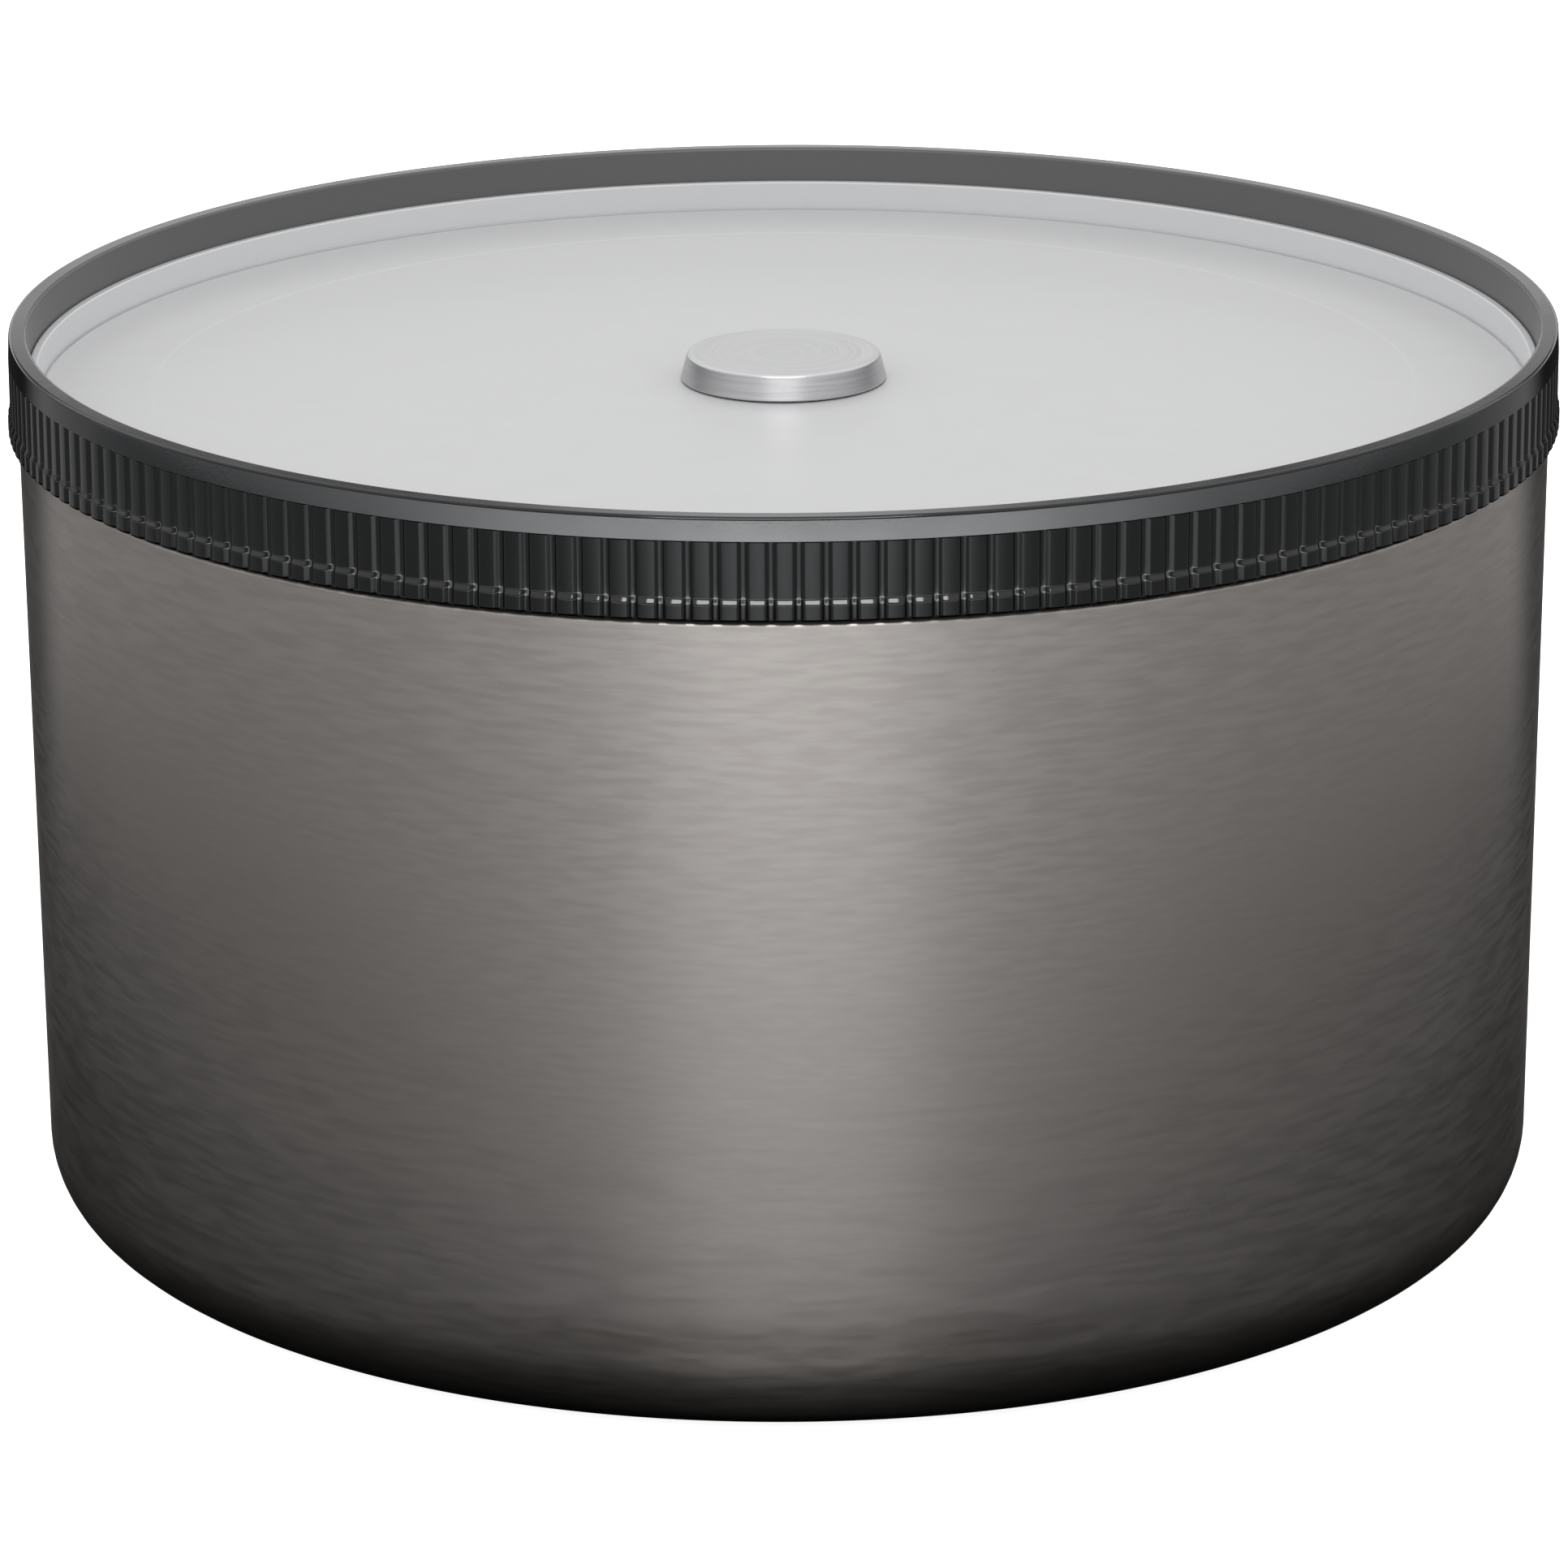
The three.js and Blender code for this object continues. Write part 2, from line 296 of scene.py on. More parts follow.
def lid_gasket():
    """Flat seal with round edges and one low bead on its upper and on its lower face."""
    inner, outer = SKIRT_RADIUS + SEAT_GAP, CHANNEL_RADIUS - SEAT_GAP
    low, high = GRIP_BOTTOM, GRIP_BOTTOM + GASKET_THICKNESS
    middle = MOUTH_RADIUS + SHEET / 2
    groove = 0.12
    outline = rounded([
        (inner, low + groove, 0.35), (middle - 0.9, low + groove, 0.3), (middle - 0.3, low, 0.3),
        (middle + 0.3, low, 0.3), (middle + 0.9, low + groove, 0.3), (outer, low + groove, 0.35),
        (outer, high - groove, 0.35), (middle + 0.9, high - groove, 0.3), (middle + 0.3, high, 0.3),
        (middle - 0.3, high, 0.3), (middle - 0.9, high - groove, 0.3), (inner, high - groove, 0.35),
    ], steps=4)
    return lathe("lid_gasket_finished", outline, HIDDEN_COLUMNS)


def flute_depth_share(place):
    """How deep a flute is at a place in its pitch, from -0.5 to 0.5 with the floor in the middle.

    The share is one on the floor and falls evenly to none over the flank.
    """
    return np.clip((FLANK_END - np.abs(place)) / (FLANK_END - FLANK_START), 0, 1)


def rib_crown(place):
    """How far the crest of a rib falls away beside its middle: the square of the way to its edge."""
    beside = np.clip((0.5 - np.abs(place)) / (0.5 - FLANK_END), 0, 1)
    return RIB_CROWN * beside * beside


def lid_ring():
    """The dark ring: a fluted skin over a plain inside, joined by a row of triangles at each border.

    On the skin, a point's radius is the outline's radius less the flute's depth there, which is the way
    to the flute's floor times the share across the pitch times the weight along the height. The floor
    lies further out on the ramp at the bottom and, by the draft, towards the top. The crests between
    the flutes fall away by the rib's crown. The inside has one column for each pitch.
    """
    pitch = TURN / FLUTE_COUNT
    fine = (np.arange(FLUTE_COUNT)[:, None] * pitch + (PITCH_PLACES + 0.5) * pitch).reshape(-1)
    place = np.tile(PITCH_PLACES, FLUTE_COUNT)
    foot_top = GRIP_BOTTOM + FOOT_BAND_HEIGHT
    lip_turn = RIM_TOP - LIP_CORNER
    under_border = FLUTE_FLOOR - 0.6
    recess_border = PANEL_TOP + SHOULDER_HEIGHT - 1
    low = rounded([
        (under_border, GRIP_BOTTOM, 0), (GRIP_RADIUS, GRIP_BOTTOM, 0.3),
        (GRIP_RADIUS, foot_top, 0.4), (RIB_RADIUS, foot_top + FOOT_STEP_HEIGHT, 0.4),
        (RIB_RADIUS, FLUTE_TOP, 0),
    ], closed=False, steps=3)
    lean = BAND_LEAN / (lip_turn - FLUTE_TOP)
    above_flutes = np.array([-4.6, -0.4, -0.08, -0.05, -0.02, 0.02, 0.05, 0.08])
    band = np.stack([RIB_RADIUS - lean * np.clip(above_flutes, 0, None), FLUTE_TOP + above_flutes], 1)
    low = np.vstack([low[:-1], band])
    band_start = 0.4
    lip = rounded([
        (RIB_RADIUS - lean * band_start, FLUTE_TOP + band_start, 0),
        (BAND_TOP_RADIUS - lean * LIP_CORNER, RIM_TOP, LIP_CORNER),
        (RECESS_RADIUS, RIM_TOP, LIP_CORNER), (RECESS_RADIUS, recess_border, 0),
    ], closed=False, steps=4)
    skin = np.vstack([low, lip])
    radius, height = skin[:, :1], skin[:, 1:]
    outer = (radius > FLUTE_FLOOR) & (height < FLUTE_TOP + band_start)
    weight = np.where(outer, smooth_step((FLUTE_TOP + FLUTE_FADE / 2 - height) / FLUTE_FADE), 0)
    ramp = np.clip((FLUTE_RAMP_TOP - height) / FLUTE_RAMP_HEIGHT, 0, 1)
    draft = np.clip((height - FLUTE_DRAFT_START) / (FLUTE_TOP - FLUTE_DRAFT_START), 0, 1)
    floor = FLUTE_FLOOR + FLUTE_RAMP * ramp + FLUTE_DRAFT * draft
    share = flute_depth_share(place)[None, :]
    crown = rib_crown(place)[None, :] * weight
    flute = FLUTE_KEPT * np.clip(radius - floor, 0, None) * share * weight
    fluted = np.minimum(radius - flute, radius - crown)
    points = around(fluted, height, fine[None, :])

    inside = rounded([
        (RECESS_RADIUS, recess_border - 0.4, 0), (RECESS_RADIUS, WEB_TOP, 0.4),
        (SKIRT_INNER, WEB_TOP, 0.3), (SKIRT_INNER, SKIRT_BOTTOM, 0.6), (SKIRT_RADIUS, SKIRT_BOTTOM, 0.6),
        (SKIRT_RADIUS, WEB_UNDER, 0.5), (CHANNEL_RADIUS, WEB_UNDER, 0.5),
        (CHANNEL_RADIUS, GRIP_BOTTOM, 0.2), (under_border - 0.2, GRIP_BOTTOM, 0),
    ], closed=False, steps=3)
    coarse = around(inside[:, :1], inside[:, 1:], fine[None, ::len(PITCH_PLACES)])
    first = len(points)
    skin_top = (len(skin) - 1) * len(fine)
    inside_end = first + (len(inside) - 1) * FLUTE_COUNT
    faces = [
        grid_faces(len(skin), len(fine)),
        grid_faces(len(inside), FLUTE_COUNT, first),
        stitch(skin_top, first, len(fine), FLUTE_COUNT, False),
        stitch(0, inside_end, len(fine), FLUTE_COUNT, True),
    ]
    return put_mesh("lid_ring_fluted", np.vstack([points, coarse]), faces)


def stitch(fine_start, coarse_start, fine_count, coarse_count, coarse_below):
    """Triangles between a ring of many points and one of few, which share their angles.

    In each cell the first half of the fine edges meets the cell's first coarse point, then comes the
    coarse edge, and the rest meets its second point.
    """
    ratio = fine_count // coarse_count
    half = ratio // 2 + 1
    cell = np.arange(coarse_count)[:, None]
    edge = np.arange(ratio)[None, :]
    fine = cell * ratio + edge
    mate = np.where(edge < half, cell, (cell + 1) % coarse_count)
    edges = np.stack([
        fine_start + fine, fine_start + (fine + 1) % fine_count, coarse_start + mate,
    ], -1).reshape(-1, 3)
    middle = cell[:, 0] * ratio + half
    bridges = np.stack([
        coarse_start + cell[:, 0], fine_start + middle % fine_count,
        coarse_start + (cell[:, 0] + 1) % coarse_count,
    ], -1)
    if coarse_below:
        edges, bridges = edges[:, ::-1], bridges[:, ::-1]
    return np.vstack([edges, bridges])


def lid_panel():
    """Pressed dish: a flat disc with a shallow pressed ring, and a shoulder at its edge.

    The shoulder's rolled top fills the recess, and a narrow seam is pressed in at its foot.
    """
    inner = PANEL_RADIUS - SHEET
    roll = RECESS_RADIUS - 0.03
    top = PANEL_TOP + SHOULDER_HEIGHT
    seam_floor = PANEL_TOP - SEAM_DEPTH
    disc_top = PANEL_TOP - PRESSED_DEPTH
    outline = rounded([
        (0, PANEL_UNDER, 0), (PANEL_RADIUS, PANEL_UNDER, 1.0), (PANEL_RADIUS, top - 1.2, 0.8),
        (roll, top - 0.5, 0.6), (roll, top, 0.3), (inner, top, 0.2),
        (inner, seam_floor, 0.06), (inner - SEAM_WIDTH, seam_floor, 0.06),
        (inner - SEAM_WIDTH, PANEL_TOP, 0.08), (PRESSED_RADIUS, PANEL_TOP, 0.6),
        (PRESSED_RADIUS - PRESSED_RUN, disc_top, 0.6), (0, disc_top, 0),
    ], closed=False, steps=5)
    return lathe("lid_panel_finished", outline, LID_COLUMNS)


def lid_badge():
    """Plain round badge with a bevelled side and a soft top edge."""
    top = BADGE_UNDER + BADGE_HEIGHT
    outline = rounded([
        (0, BADGE_UNDER, 0), (BADGE_RADIUS, BADGE_UNDER, 0.12), (BADGE_RADIUS - BADGE_BEVEL, top, 0.35),
        (0, top, 0),
    ], closed=False, steps=5)
    return lathe("lid_badge_finished", outline, HIDDEN_COLUMNS)


def inner_cover():
    """Moulded cup with rounded corners that closes the lid on the food side."""
    floor_top = COVER_UNDER + COVER_THICKNESS
    inner = COVER_RADIUS - COVER_THICKNESS
    outline = rounded([
        (0, COVER_UNDER, 0), (COVER_RADIUS, COVER_UNDER, 0.5), (COVER_RADIUS, WEB_TOP, 0.3),
        (inner, WEB_TOP, 0.3), (inner, floor_top, 1.2), (0, floor_top, 0),
    ], closed=False)
    return lathe("inner_cover_finished", outline, HIDDEN_COLUMNS)


def thread(name, root, crest, bottom):
    """Ridges of a six-start right-hand thread, swept along helices that rise one lead a turn.

    Along a ridge its height is the bottom plus the rise's share, and its angle follows it by one turn a
    lead. Its section is a loop of (share of the way from root to crest, half width in millimetres).
    Both are scaled by the smooth step of the way from the nearer end, and keep a part of their size
    at the end itself.
    """
    samples, run_in, end_lift, end_width = 72, 0.09, 0.12, 0.4
    share = np.linspace(0, 1, samples)
    lift = end_lift + (1 - end_lift) * smooth_step(np.minimum(share, 1 - share) / run_in)
    section = np.array([
        (-0.12, -0.66), (0, -0.62), (0.14, -0.56), (0.82, -0.38), (0.96, -0.3), (1, -0.2),
        (1, 0.2), (0.96, 0.3), (0.82, 0.38), (0.14, 0.56), (0, 0.62), (-0.12, 0.66),
    ])
    if crest > root:
        section = section[::-1]
    start = np.arange(THREAD_STARTS)[:, None, None] * TURN / THREAD_STARTS
    along, lift = RIDGE_RISE * share[None, :, None], lift[None, :, None]
    out, across = section[:, 0][None, None, :], section[:, 1][None, None, :]
    radius = root + (crest - root) * np.where(out > 0, out * lift, out)
    height = bottom + along + across * (end_width + (1 - end_width) * lift)
    angle = start + along / THREAD_LEAD * TURN
    points = around(radius, height, angle)
    loop = len(section)
    ridge = np.arange(THREAD_STARTS)[:, None, None] * samples * loop
    row = np.arange(samples - 1)[None, :, None] * loop
    column = np.arange(loop)[None, None, :]
    beside = (column + 1) % loop
    here, ahead = ridge + row, ridge + row + loop
    sides = np.stack([here + column, here + beside, ahead + beside, ahead + column], -1).reshape(-1, 4)
    begin = ridge[:, 0] + np.arange(loop)[None, ::-1]
    finish = ridge[:, 0] + (samples - 1) * loop + np.arange(loop)[None, :]
    return put_mesh(name, points, [sides, begin, finish])


# Shader node groups

def new_group(name, inputs, outputs):
    """An empty node group with number sockets, and its input and output nodes."""
    group = bpy.data.node_groups.new(name, "ShaderNodeTree")
    for label, value in inputs.items():
        socket = group.interface.new_socket(name=label, in_out="INPUT", socket_type="NodeSocketFloat")
        socket.default_value = value
    for label in outputs:
        group.interface.new_socket(name=label, in_out="OUTPUT", socket_type="NodeSocketFloat")
    return group, group.nodes.new("NodeGroupInput"), group.nodes.new("NodeGroupOutput")


def join(tree, source, target):
    tree.links.new(source, target)


def feed(tree, value, target):
    """Joins a socket to another, or sets a plain value on it."""
    if hasattr(value, "is_linked"):
        join(tree, value, target)
    else:
        target.default_value = value


def number(tree, operation, *values):
    """The result of a Math node whose inputs are sockets or numbers."""
    node = tree.nodes.new("ShaderNodeMath")
    node.operation = operation
    for socket, value in zip(node.inputs, values):
        feed(tree, value, socket)
    return node.outputs[0]


def spread(tree, value, low, high, to_low=0.0, to_high=1.0):
    """A value brought smoothly from one range into another."""
    node = tree.nodes.new("ShaderNodeMapRange")
    node.interpolation_type = "SMOOTHSTEP"
    join(tree, value, node.inputs["Value"])
    for label, amount in (("From Min", low), ("From Max", high), ("To Min", to_low), ("To Max", to_high)):
        feed(tree, amount, node.inputs[label])
    return node.outputs["Result"]


def place_parts(tree):
    """The three parts of the object's own coordinates."""
    place = tree.nodes.new("ShaderNodeTexCoord")
    parts = tree.nodes.new("ShaderNodeSeparateXYZ")
    join(tree, place.outputs["Object"], parts.inputs[0])
    return parts.outputs


def axis_distance(tree, x, y):
    """Distance from the upright axis: the root of x^2 + y^2."""
    squares = [number(tree, "MULTIPLY", part, part) for part in (x, y)]
    return number(tree, "SQRT", number(tree, "ADD", *squares))


def turned_lines_group():
    """Fine lines that run round the axis, as a belt or a lathe leaves them on walls and floors alike.

    The noise changes fast with the radius and the height, and slowly with the way round.
    """
    tree, given, result = new_group("turned_lines", {"Across": 2600.0, "Along": 45.0}, ("Lines", "Bands"))
    x, y, z = place_parts(tree)
    radius = axis_distance(tree, x, y)
    for label, size, detail in (("Lines", 1.0, 2.0), ("Bands", 0.16, 1.0)):
        across = number(tree, "MULTIPLY", given.outputs["Across"], size)
        along = number(tree, "MULTIPLY", given.outputs["Along"], size)
        vector = tree.nodes.new("ShaderNodeCombineXYZ")
        join(tree, number(tree, "MULTIPLY", radius, across), vector.inputs[0])
        join(tree, number(tree, "MULTIPLY", z, across), vector.inputs[1])
        join(tree, number(tree, "MULTIPLY", y, along), vector.inputs[2])
        noise = tree.nodes.new("ShaderNodeTexNoise")
        noise.noise_dimensions = "4D"
        join(tree, vector.outputs[0], noise.inputs["Vector"])
        join(tree, number(tree, "MULTIPLY", x, along), noise.inputs["W"])
        noise.inputs["Scale"].default_value = 1.0
        noise.inputs["Detail"].default_value = detail
        join(tree, spread(tree, noise.outputs["Fac"], 0.3, 0.7), result.inputs[label])
    return tree


def fine_grain_group():
    """Even grain of blasted metal, moulded plastic or silicone: two sizes of noise."""
    tree, given, result = new_group("fine_grain", {"Scale": 4000.0}, ("Grain", "Mottle"))
    place = tree.nodes.new("ShaderNodeTexCoord")
    for label, share, detail in (("Grain", 1.0, 3.0), ("Mottle", 0.03, 2.0)):
        noise = tree.nodes.new("ShaderNodeTexNoise")
        join(tree, place.outputs["Object"], noise.inputs["Vector"])
        join(tree, number(tree, "MULTIPLY", given.outputs["Scale"], share), noise.inputs["Scale"])
        noise.inputs["Detail"].default_value = detail
        join(tree, spread(tree, noise.outputs["Fac"], 0.3, 0.7), result.inputs[label])
    return tree


def handling_marks_group():
    """Soft cloudy marks where hands and cloths have been: noise kept above a threshold."""
    tree, given, result = new_group("handling_marks", {"Scale": 38.0, "Amount": 0.5}, ("Marks",))
    place = tree.nodes.new("ShaderNodeTexCoord")
    noise = tree.nodes.new("ShaderNodeTexNoise")
    join(tree, place.outputs["Object"], noise.inputs["Vector"])
    join(tree, given.outputs["Scale"], noise.inputs["Scale"])
    noise.inputs["Detail"].default_value = 4.0
    noise.inputs["Distortion"].default_value = 0.4
    kept = spread(tree, noise.outputs["Fac"], 0.42, 0.72)
    join(tree, number(tree, "MULTIPLY", kept, given.outputs["Amount"]), result.inputs["Marks"])
    return tree


def height_zone_group():
    """Mask that rises from none to one between two heights."""
    tree, given, result = new_group("height_zone", {"Low": 0.0, "High": 0.01}, ("Mask",))
    z = place_parts(tree)[2]
    join(tree, spread(tree, z, given.outputs["Low"], given.outputs["High"]), result.inputs["Mask"])
    return tree


def radius_zone_group():
    """Mask that rises from none to one between two distances from the upright axis."""
    tree, given, result = new_group("radius_zone", {"Low": 0.0, "High": 0.01}, ("Mask",))
    x, y, _ = place_parts(tree)
    distance = axis_distance(tree, x, y)
    join(tree, spread(tree, distance, given.outputs["Low"], given.outputs["High"]), result.inputs["Mask"])
    return tree


GROUPS = {
    "lines": turned_lines_group(),
    "grain": fine_grain_group(),
    "marks": handling_marks_group(),
    "zone": height_zone_group(),
    "rim": radius_zone_group(),
}


class Finish:
    """One material: its tree, its shader, and the ways to feed the shader's sockets."""

    def __init__(self, name, **settings):
        self.material = bpy.data.materials.new(name)
        self.material.use_nodes = True
        self.tree = self.material.node_tree
        self.shader = self.tree.nodes["Principled BSDF"]
        for label, value in settings.items():
            self.shader.inputs[label.replace("_", " ")].default_value = value

    def effect(self, group, **values):
        """The outputs of one of the groups, given its own values."""
        node = self.tree.nodes.new("ShaderNodeGroup")
        node.node_tree = GROUPS[group]
        for label, value in values.items():
            node.inputs[label].default_value = value
        return node.outputs

    def color(self, low, high, *masks):
        """Base colour that goes from one grey to another with the masks' mean."""
        total = masks[0]
        for mask in masks[1:]:
            total = number(self.tree, "ADD", total, mask)
        self.mix(number(self.tree, "DIVIDE", total, len(masks)), (*low, 1), (*high, 1))

    def darken(self, mask, shade):
        """Takes the base colour to a shade where the mask is one."""
        self.mix(mask, self.base, (*shade, 1))

    def mix(self, share, low, high):
        """Base colour that goes from one to another with the share. Either may be a socket."""
        node = self.tree.nodes.new("ShaderNodeMix")
        node.data_type = "RGBA"
        for value, socket in ((share, 0), (low, 6), (high, 7)):
            feed(self.tree, value, node.inputs[socket])
        self.base = node.outputs[2]
        join(self.tree, self.base, self.shader.inputs["Base Color"])

    def roughness(self, mean, *changes):
        """Roughness as a mean plus each mask's change about its middle."""
        total = None
        for mask, change in changes:
            part = number(self.tree, "MULTIPLY", number(self.tree, "SUBTRACT", mask, 0.5), change)
            total = number(self.tree, "ADD", part, mean if total is None else total)
        join(self.tree, total, self.shader.inputs["Roughness"])

    def bump(self, height, distance, strength):
        node = self.tree.nodes.new("ShaderNodeBump")
        node.inputs["Distance"].default_value = distance
        node.inputs["Strength"].default_value = strength
        join(self.tree, height, node.inputs["Height"])
        join(self.tree, node.outputs[0], self.shader.inputs["Normal"])

    def brushed_round(self, amount):
        """Sheen drawn out across lines that run round the axis."""
        tangent = self.tree.nodes.new("ShaderNodeTangent")
        tangent.direction_type = "RADIAL"
        tangent.axis = "Z"
        join(self.tree, tangent.outputs[0], self.shader.inputs["Tangent"])
        self.shader.inputs["Anisotropic"].default_value = amount
        self.shader.inputs["Anisotropic Rotation"].default_value = 0.25


def graphite_steel():
    """Dark shell steel, brushed round the body in level lines, with painted shade over the foot for the dark
    floor that it mirrors.
    """
    finish = Finish("graphite_brushed_steel", Metallic=1.0)
    lines = finish.effect("lines", Across=1300.0, Along=190.0)
    marks = finish.effect("marks", Scale=30.0, Amount=1.0)["Marks"]
    finish.color((0.37, 0.343, 0.325), (0.425, 0.394, 0.373), lines["Lines"])
    # Painted shade: below 12 mm the base colour goes most of the way to near black, standing in for the dark
    # floor that the foot mirrors.
    wall = finish.effect("zone", Low=0.0, High=12.0 * MM)["Mask"]
    foot = number(finish.tree, "MULTIPLY", number(finish.tree, "SUBTRACT", 1.0, wall), 0.85)
    finish.darken(foot, (0.02, 0.02, 0.02))
    finish.roughness(0.315, (lines["Lines"], -0.048), (lines["Bands"], 0.005), (marks, 0.003))
    finish.bump(lines["Lines"], 0.000001, 0.2)
    finish.brushed_round(0.9)
    return finish.material


def drawn_steel():
    """Bright steel of the vessel and the base, with finer turned lines."""
    finish = Finish("drawn_bright_steel", Metallic=1.0)
    lines = finish.effect("lines", Across=3400.0, Along=30.0)
    marks = finish.effect("marks", Scale=24.0, Amount=1.0)["Marks"]
    finish.color((0.47, 0.467, 0.46), (0.58, 0.578, 0.572), lines["Lines"], lines["Bands"])
    finish.roughness(0.3, (lines["Lines"], 0.08), (marks, 0.08))
    finish.bump(lines["Lines"], 0.000008, 0.3)
    finish.brushed_round(0.6)
    return finish.material


def ground_weld():
    """Weld bead ground nearly flush: bright, with coarse short lines."""
    finish = Finish("ground_weld_steel", Metallic=1.0)
    lines = finish.effect("lines", Across=5200.0, Along=900.0)
    grain = finish.effect("grain", Scale=6000.0)
    finish.color((0.4, 0.395, 0.385), (0.56, 0.555, 0.545), lines["Lines"], grain["Mottle"])
    finish.roughness(0.36, (lines["Lines"], 0.16), (grain["Grain"], 0.08))
    finish.bump(lines["Lines"], 0.00002, 0.4)
    return finish.material


def smoke_gloss():
    """Dark glossy ring with faint handling marks; the recess's wall is duller and painted a lighter grey,
    which stands in for the light that the glossy wall mirrors.
    """
    finish = Finish("smoke_gloss", Metallic=0.0, IOR=1.5)
    grain = finish.effect("grain", Scale=2600.0)
    marks = finish.effect("marks", Scale=55.0, Amount=1.0)["Marks"]
    outside = finish.effect("rim", Low=(RECESS_RADIUS + 0.1) * MM, High=(RECESS_RADIUS + 0.3) * MM)["Mask"]
    above = finish.effect("zone", Low=PANEL_TOP * MM, High=(PANEL_TOP + 1) * MM)["Mask"]
    recess = number(finish.tree, "MULTIPLY", above, number(finish.tree, "SUBTRACT", 1.0, outside))
    # Painted reflection: the recess's wall takes the lighter grey, standing in for the light that the glossy
    # inner wall mirrors.
    finish.color((0.001, 0.001, 0.0011), (0.08, 0.08, 0.082), recess)
    finish.roughness(0.25, (recess, 0.32), (marks, 0.02), (grain["Mottle"], 0.02))
    finish.bump(grain["Grain"], 0.000003, 0.2)
    return finish.material


def blasted_light_steel():
    """Light panel, blasted to an even satin, with its pressed shoulder painted a lighter grey that stands in
    for the key light kept off the panel.
    """
    finish = Finish("blasted_light_steel", Metallic=0.4)
    grain = finish.effect("grain", Scale=5200.0)
    marks = finish.effect("marks", Scale=26.0, Amount=1.0)["Marks"]
    # Painted light: the shoulder takes the lighter grey, standing in for the key light that keep_off holds
    # away from the panel.
    edge = PANEL_RADIUS - SHEET
    shoulder = finish.effect("rim", Low=(edge - 0.15) * MM, High=(edge - 0.05) * MM)["Mask"]
    mottle = number(finish.tree, "MULTIPLY", grain["Mottle"], 0.06)
    tone = number(finish.tree, "MULTIPLY", number(finish.tree, "SUBTRACT", 1.0, shoulder),
                  number(finish.tree, "ADD", mottle, 0.94))
    finish.color((0.74, 0.744, 0.752), (0.625, 0.627, 0.633), tone)
    finish.roughness(0.5, (grain["Mottle"], 0.02), (marks, 0.015))
    finish.bump(grain["Grain"], 0.000006, 0.3)
    return finish.material


def polished_badge():
    """Badge: polished side and a face with fine turned lines, told apart by height."""
    finish = Finish("polished_badge", Metallic=1.0)
    lines = finish.effect("lines", Across=3800.0, Along=90.0)
    top = (BADGE_UNDER + BADGE_HEIGHT) * MM
    face = finish.effect("zone", Low=top - 0.00025, High=top - 0.00008)["Mask"]
    finish.color((0.42, 0.42, 0.43), (0.64, 0.642, 0.648), lines["Lines"], face, face)
    duller = number(finish.tree, "ADD", 0.12, number(finish.tree, "MULTIPLY", lines["Lines"], 0.1))
    rough = number(finish.tree, "ADD", number(finish.tree, "MULTIPLY", face, duller), 0.26)
    join(finish.tree, rough, finish.shader.inputs["Roughness"])
    finish.bump(number(finish.tree, "MULTIPLY", lines["Lines"], face), 0.000008, 0.35)
    return finish.material


def silicone():
    """Translucent grey seal, matt, with a dusty bloom."""
    finish = Finish("seal_silicone", Metallic=0.0, IOR=1.41)
    grain = finish.effect("grain", Scale=2400.0)
    marks = finish.effect("marks", Scale=70.0, Amount=1.0)["Marks"]
    finish.color((0.44, 0.44, 0.43), (0.56, 0.56, 0.55), grain["Mottle"], marks)
    finish.roughness(0.6, (grain["Grain"], 0.1), (marks, 0.1))
    finish.bump(grain["Grain"], 0.00001, 0.3)
    return finish.material


def moulded_plastic():
    """Pale moulded cover with an even spark texture."""
    finish = Finish("moulded_pale_plastic", Metallic=0.0, IOR=1.49)
    grain = finish.effect("grain", Scale=3000.0)
    marks = finish.effect("marks", Scale=32.0, Amount=1.0)["Marks"]
    finish.color((0.56, 0.56, 0.545), (0.64, 0.64, 0.625), grain["Mottle"], marks)
    finish.roughness(0.46, (grain["Grain"], 0.12), (marks, 0.06))
    finish.bump(grain["Grain"], 0.00002, 0.35)
    return finish.material


def dress(piece, material, body, slot, *nodes):
    """Gives a piece its material and body, and hides the CAD nodes that it stands for. The slot is not used.
    """
    piece.data.materials.append(material)
    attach(piece, body)
    if nodes:
        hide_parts(*nodes)
    return piece


shell_finish = graphite_steel()
vessel_finish = drawn_steel()
ring_finish = smoke_gloss()

dress(outer_shell(), shell_finish, "canister", "shell_steel", "outer_shell")
dress(base_plate(), vessel_finish, "canister", "shell_steel", "base_plate")
dress(inner_vessel(), vessel_finish, "canister", "vessel_steel", "inner_vessel")
dress(rim_weld(), ground_weld(), "canister", "vessel_steel")
dress(lid_gasket(), silicone(), "lid_seal", "seal", "lid_gasket")
dress(lid_ring(), ring_finish, "lid", "ring_gloss", "lid_ring")
panel = dress(lid_panel(), blasted_light_steel(), "lid", "panel_satin", "lid_panel")
dress(lid_badge(), polished_badge(), "lid", "badge_polished", "lid_badge")
dress(inner_cover(), moulded_plastic(), "lid", "cover_plastic", "inner_cover")
dress(thread("mouth_thread", MOUTH_RADIUS, MOUTH_RADIUS - RIDGE_DEPTH, MOUTH_RIDGE_BOTTOM),
      vessel_finish, "canister", "vessel_steel")
dress(thread("skirt_thread", SKIRT_RADIUS, SKIRT_RADIUS + RIDGE_DEPTH, SKIRT_RIDGE_BOTTOM),
      ring_finish, "lid", "ring_gloss")


# Stage, lights and camera

FLOOR_LEVEL = -0.03
CARD_LEVEL = -0.08
SWEEP_RADIUS = 400.0
SWEEP_BOTTOM = 0.2
SWEEP_STRIP_BOTTOM = 35.0
SWEEP_TOP = 51.0
SWEEP_REACH = 1.9


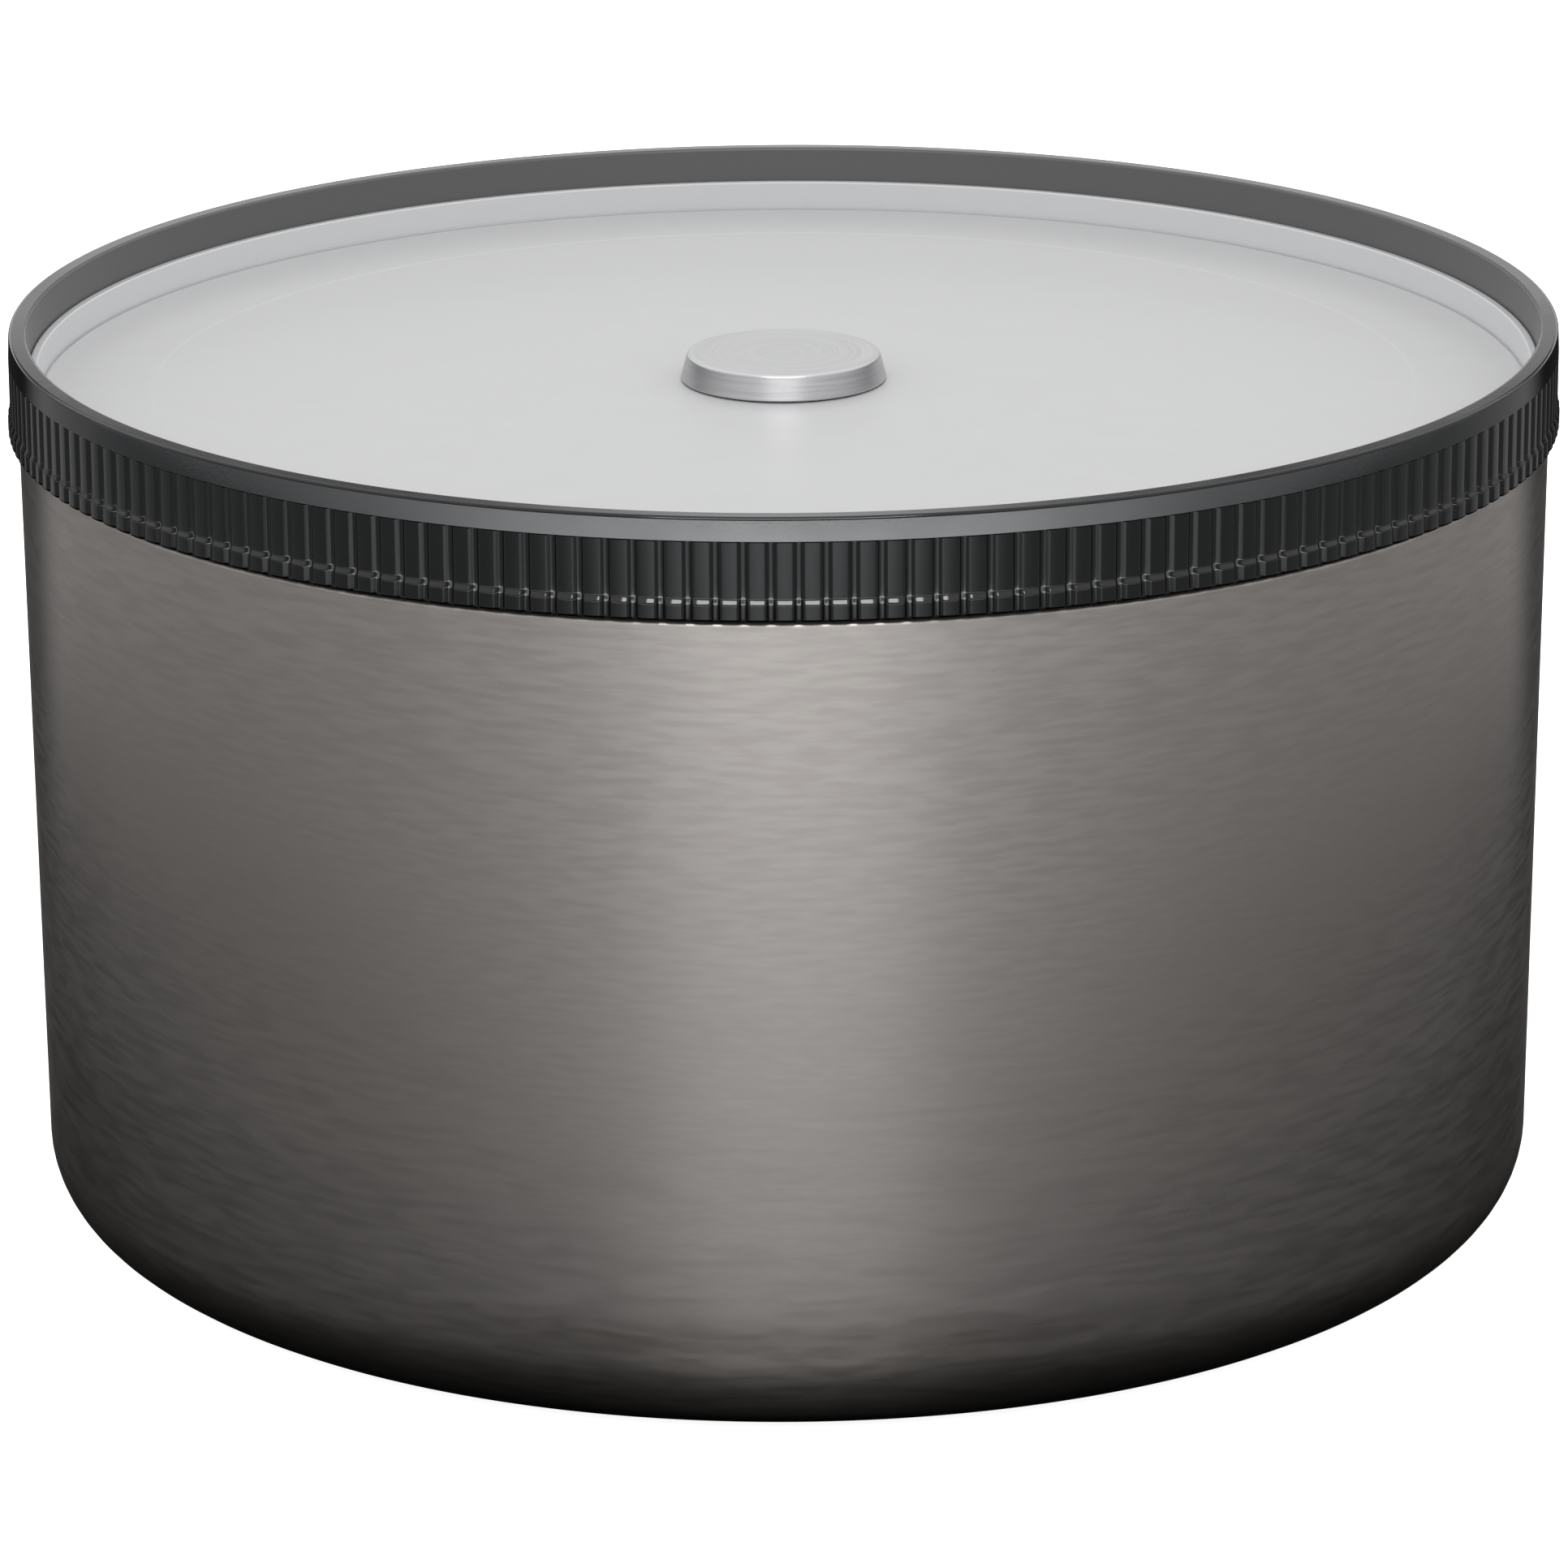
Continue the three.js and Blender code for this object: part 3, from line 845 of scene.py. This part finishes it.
def pale_floor():
    """Plain pale floor a hair below the foot, seen by the camera but kept out of reflections."""
    reach = 4000.0
    sides = reach * np.array([(-1, -1), (1, -1), (1, 1), (-1, 1)])
    corners = np.column_stack([sides, np.full(4, FLOOR_LEVEL)])
    floor = put_mesh("floor", corners, [np.array([[0, 1, 2, 3]])])
    finish = Finish("pale_floor", Roughness=0.9, Emission_Strength=0.9)
    finish.shader.inputs["Emission Color"].default_value = (1, 1, 1, 1)
    grain = finish.effect("grain", Scale=300.0)
    finish.color((0.9, 0.9, 0.9), (0.92, 0.92, 0.92), grain["Mottle"])
    floor.data.materials.append(finish.material)
    floor.visible_glossy = False
    floor.visible_diffuse = False
    floor.visible_shadow = False


def dark_card(radius, fence_radius, fence_height):
    """Matt card with a low round fence that only reflections see: they darken the foot of the wall."""
    columns = 96
    angle = np.arange(columns) * TURN / columns
    heights = np.array([[CARD_LEVEL], [fence_height]])
    points = np.vstack([around(radius, CARD_LEVEL, angle), around(fence_radius, heights, angle[None, :])])
    card = put_mesh("dark_card", points, [np.arange(columns)[None, :], grid_faces(2, columns, columns)])
    finish = Finish("dark_card", Roughness=1.0, Specular_IOR_Level=0.0)
    grain = finish.effect("grain", Scale=900.0)
    finish.color((0.004, 0.004, 0.004), (0.008, 0.008, 0.008), grain["Mottle"])
    card.data.materials.append(finish.material)
    card.visible_camera = False


def studio_world(above, level, behind, under, far):
    """Soft light that grows from level to overhead.

    Behind the canister it is as bright as far up to 14 degrees, where the lid's far lip mirrors it,
    and in a narrow upright patch straight behind, for the near lip. It is low above that up to a third
    of the way up, and lowest under the horizon. The camera itself sees it white all round.
    """
    world = bpy.data.worlds.new("studio")
    world.use_nodes = True
    tree = world.node_tree
    place = tree.nodes.new("ShaderNodeTexCoord")
    parts = tree.nodes.new("ShaderNodeSeparateXYZ")
    join(tree, place.outputs["Generated"], parts.inputs[0])
    x, y, z = parts.outputs
    strength = spread(tree, z, 0.05, 0.3, level, above)
    low = number(tree, "MULTIPLY", spread(tree, y, 0.72, 0.86), spread(tree, z, 0.34, 0.46, 1.0, 0.0))
    middle = spread(tree, number(tree, "ABSOLUTE", x), 0.0, 0.05, far, behind)
    dim = spread(tree, z, 0.0, 0.08, under, spread(tree, z, 0.238, 0.25, far, middle))
    lit = number(tree, "MULTIPLY", strength, number(tree, "SUBTRACT", 1.0, low))
    strength = number(tree, "ADD", lit, number(tree, "MULTIPLY", low, dim))
    seen = tree.nodes.new("ShaderNodeLightPath").outputs["Is Camera Ray"]
    join(tree, number(tree, "MAXIMUM", strength, seen), tree.nodes["Background"].inputs["Strength"])
    tree.nodes["Background"].inputs["Color"].default_value = (1, 1, 1, 1)
    bpy.context.scene.world = world


def front_sweep():
    """White card bent round the front that only reflections see: a bright strip over a dim apron.

    Each glows by its peak times exp(-(angle from the front / width)^2), plus its base.
    """
    apron, strip = (1.1, 0.34, 0.37), (8.0, 0.7, 1.1)
    angle = np.linspace(-SWEEP_REACH, SWEEP_REACH, 77) - TURN / 4
    height = np.array([[SWEEP_BOTTOM], [SWEEP_STRIP_BOTTOM], [SWEEP_STRIP_BOTTOM], [SWEEP_TOP]])
    points = around(SWEEP_RADIUS, height, angle[None, :])
    faces = [grid_faces(2, len(angle))[:-1], grid_faces(2, len(angle), 2 * len(angle))[:-1]]
    card = put_mesh("front_sweep", points, faces)
    finish = Finish("front_sweep", Roughness=1.0, Specular_IOR_Level=0.0)
    tree = finish.tree
    x, y, z = place_parts(tree)
    away = number(tree, "ARCTAN2", x, number(tree, "MULTIPLY", y, -1.0))
    glow = []
    for peak, width, base in (apron, strip):
        share = number(tree, "DIVIDE", away, width)
        square = number(tree, "MULTIPLY", share, share)
        fall = number(tree, "EXPONENT", number(tree, "MULTIPLY", square, -1.0))
        glow.append(number(tree, "ADD", number(tree, "MULTIPLY", fall, peak), base))
    on_strip = number(tree, "GREATER_THAN", z, SWEEP_STRIP_BOTTOM * MM)
    more = number(tree, "MULTIPLY", on_strip, number(tree, "SUBTRACT", glow[1], glow[0]))
    join(tree, number(tree, "ADD", more, glow[0]), finish.shader.inputs["Emission Strength"])
    finish.shader.inputs["Emission Color"].default_value = (0.95, 0.98, 1, 1)
    finish.shader.inputs["Base Color"].default_value = (0, 0, 0, 1)
    card.data.materials.append(finish.material)
    card.visible_camera = False


def softbox(name, place, target, width, height, radiance):
    """Rectangular lamp of a given radiance that faces a target and stays out of the camera's sight."""
    lamp = bpy.data.lights.new(name, "AREA")
    lamp.shape = "RECTANGLE"
    lamp.size, lamp.size_y = width, height
    lamp.energy = radiance * math.pi * width * height
    holder = bpy.data.objects.new(name, lamp)
    holder.location = place
    holder.rotation_euler = (Vector(target) - Vector(place)).to_track_quat("-Z", "Y").to_euler()
    holder.visible_camera = False
    bpy.context.scene.collection.objects.link(holder)
    return holder


def keep_off(lamp, piece):
    """Keeps a lamp's light off one piece, whose satin would flare white seen against it."""
    unlit = bpy.data.collections.new("unlit")
    unlit.objects.link(piece)
    unlit.collection_objects[0].light_linking.link_state = "EXCLUDE"
    lamp.light_linking.receiver_collection = unlit


def camera():
    """Long lens on the axis of the front, at the photograph's angle above level."""
    data = bpy.data.cameras.new("camera")
    data.sensor_width = 36.0
    data.lens = 177.6
    data.clip_start, data.clip_end = 0.05, 20.0
    holder = bpy.data.objects.new("camera", data)
    holder.location = (-0.0002, -0.8739, 0.3214)
    turned = Matrix.Rotation(math.radians(72.67), 3, "X") @ Matrix.Rotation(math.radians(-0.3), 3, "Z")
    holder.rotation_euler = turned.to_euler()
    bpy.context.scene.collection.objects.link(holder)
    bpy.context.scene.camera = holder


pale_floor()
dark_card(radius=280.0, fence_radius=150.0, fence_height=20.0)
studio_world(above=1.1, level=0.42, behind=0.18, under=0.02, far=1.1)
front_sweep()
key = softbox("key_softbox", (0, -0.70, 0.55), (0, -0.09, 0.1), width=0.5, height=0.2, radiance=9.6)
keep_off(key, panel)
camera()

view = bpy.context.scene.view_settings
view.view_transform = "Standard"
view.look = "None"
view.exposure = 0.0
view.gamma = 1.0
